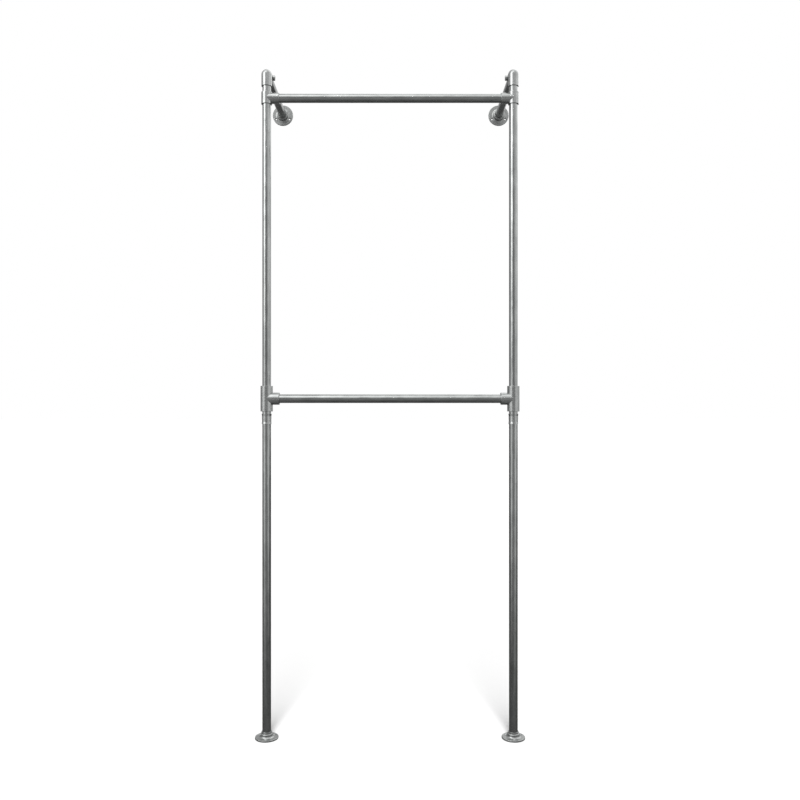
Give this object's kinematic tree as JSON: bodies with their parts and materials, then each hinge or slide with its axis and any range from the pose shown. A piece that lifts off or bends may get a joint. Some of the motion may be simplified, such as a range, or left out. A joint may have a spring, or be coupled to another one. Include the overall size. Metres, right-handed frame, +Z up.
{
  "type": "wall-fixed pipe garment rack",
  "caption": "Garment rack of galvanised pipe: uprights on round floor flanges, a mid rail and a top rail in clamp tees, and arms back to round wall flanges.",
  "frame": {"origin": "centre of the footprint, on the floor, midway between the uprights and midway between the front of the floor flanges and the wall", "axes": "+X to the right as seen from the front, +Y back to the wall, +Z up"},
  "size_m": [0.839, 0.406, 2.098],
  "materials": {
    "pipe_zinc": "hot-dip galvanised pipe, mottled grey",
    "cast_zinc": "galvanised casting, matte grey",
    "screw_steel": "blackened steel"
  },
  "bodies": {
    "frame": {"floor_flange_left": "cast_zinc", "floor_flange_right": "cast_zinc", "lower_upright_left": "pipe_zinc", "lower_upright_right": "pipe_zinc", "coupling_sleeve_left": "cast_zinc", "coupling_sleeve_right": "cast_zinc", "upper_upright_left": "pipe_zinc", "upper_upright_right": "pipe_zinc", "elbow_left": "cast_zinc", "elbow_right": "cast_zinc", "wall_arm_left": "pipe_zinc", "wall_arm_right": "pipe_zinc", "wall_flange_left": "cast_zinc", "wall_flange_right": "cast_zinc"},
    "mid_rail_assembly": {"mid_rail": "pipe_zinc", "mid_tee_left": "cast_zinc", "mid_tee_right": "cast_zinc"},
    "top_rail_assembly": {"top_rail": "pipe_zinc", "top_tee_left": "cast_zinc", "top_tee_right": "cast_zinc"},
    "mid_tee_upright_screw_left": {"mid_tee_upright_screw_left": "screw_steel"},
    "mid_tee_upright_screw_right": {"mid_tee_upright_screw_right": "screw_steel"},
    "mid_tee_rail_screw_left": {"mid_tee_rail_screw_left": "screw_steel"},
    "mid_tee_rail_screw_right": {"mid_tee_rail_screw_right": "screw_steel"},
    "top_tee_upright_screw_left": {"top_tee_upright_screw_left": "screw_steel"},
    "top_tee_upright_screw_right": {"top_tee_upright_screw_right": "screw_steel"},
    "top_tee_rail_screw_left": {"top_tee_rail_screw_left": "screw_steel"},
    "top_tee_rail_screw_right": {"top_tee_rail_screw_right": "screw_steel"},
    "elbow_arm_screw_left": {"elbow_arm_screw_left": "screw_steel"},
    "elbow_arm_screw_right": {"elbow_arm_screw_right": "screw_steel"},
    "elbow_upright_screw_left": {"elbow_upright_screw_left": "screw_steel"},
    "elbow_upright_screw_right": {"elbow_upright_screw_right": "screw_steel"}
  },
  "joints": [
    {"name": "mid_rail_height", "type": "slide", "parent": "frame", "child": "mid_rail_assembly", "axis": [0, 0, 1], "range_m": [-0.007, 0.42]},
    {"name": "top_rail_height", "type": "slide", "parent": "frame", "child": "top_rail_assembly", "axis": [0, 0, 1], "range_m": [-0.42, 0.0174]},
    {"name": "mid_tee_upright_screw_left_travel", "type": "slide", "parent": "mid_rail_assembly", "child": "mid_tee_upright_screw_left", "axis": [0, 1, 0], "range_m": [0, 0.004]},
    {"name": "mid_tee_upright_screw_right_travel", "type": "slide", "parent": "mid_rail_assembly", "child": "mid_tee_upright_screw_right", "axis": [0, 1, 0], "range_m": [0, 0.004]},
    {"name": "mid_tee_rail_screw_left_travel", "type": "slide", "parent": "mid_rail_assembly", "child": "mid_tee_rail_screw_left", "axis": [0, 1, 0], "range_m": [0, 0.004]},
    {"name": "mid_tee_rail_screw_right_travel", "type": "slide", "parent": "mid_rail_assembly", "child": "mid_tee_rail_screw_right", "axis": [0, 1, 0], "range_m": [0, 0.004]},
    {"name": "top_tee_upright_screw_left_travel", "type": "slide", "parent": "top_rail_assembly", "child": "top_tee_upright_screw_left", "axis": [0, 1, 0], "range_m": [0, 0.004]},
    {"name": "top_tee_upright_screw_right_travel", "type": "slide", "parent": "top_rail_assembly", "child": "top_tee_upright_screw_right", "axis": [0, 1, 0], "range_m": [0, 0.004]},
    {"name": "top_tee_rail_screw_left_travel", "type": "slide", "parent": "top_rail_assembly", "child": "top_tee_rail_screw_left", "axis": [0, 1, 0], "range_m": [0, 0.004]},
    {"name": "top_tee_rail_screw_right_travel", "type": "slide", "parent": "top_rail_assembly", "child": "top_tee_rail_screw_right", "axis": [0, 1, 0], "range_m": [0, 0.004]},
    {"name": "elbow_arm_screw_left_travel", "type": "slide", "parent": "frame", "child": "elbow_arm_screw_left", "axis": [1, 0, 0], "range_m": [0, 0.004]},
    {"name": "elbow_arm_screw_right_travel", "type": "slide", "parent": "frame", "child": "elbow_arm_screw_right", "axis": [-1, 0, 0], "range_m": [0, 0.004]},
    {"name": "elbow_upright_screw_left_travel", "type": "slide", "parent": "frame", "child": "elbow_upright_screw_left", "axis": [0, 1, 0], "range_m": [0, 0.004]},
    {"name": "elbow_upright_screw_right_travel", "type": "slide", "parent": "frame", "child": "elbow_upright_screw_right", "axis": [0, 1, 0], "range_m": [0, 0.004]}
  ]
}
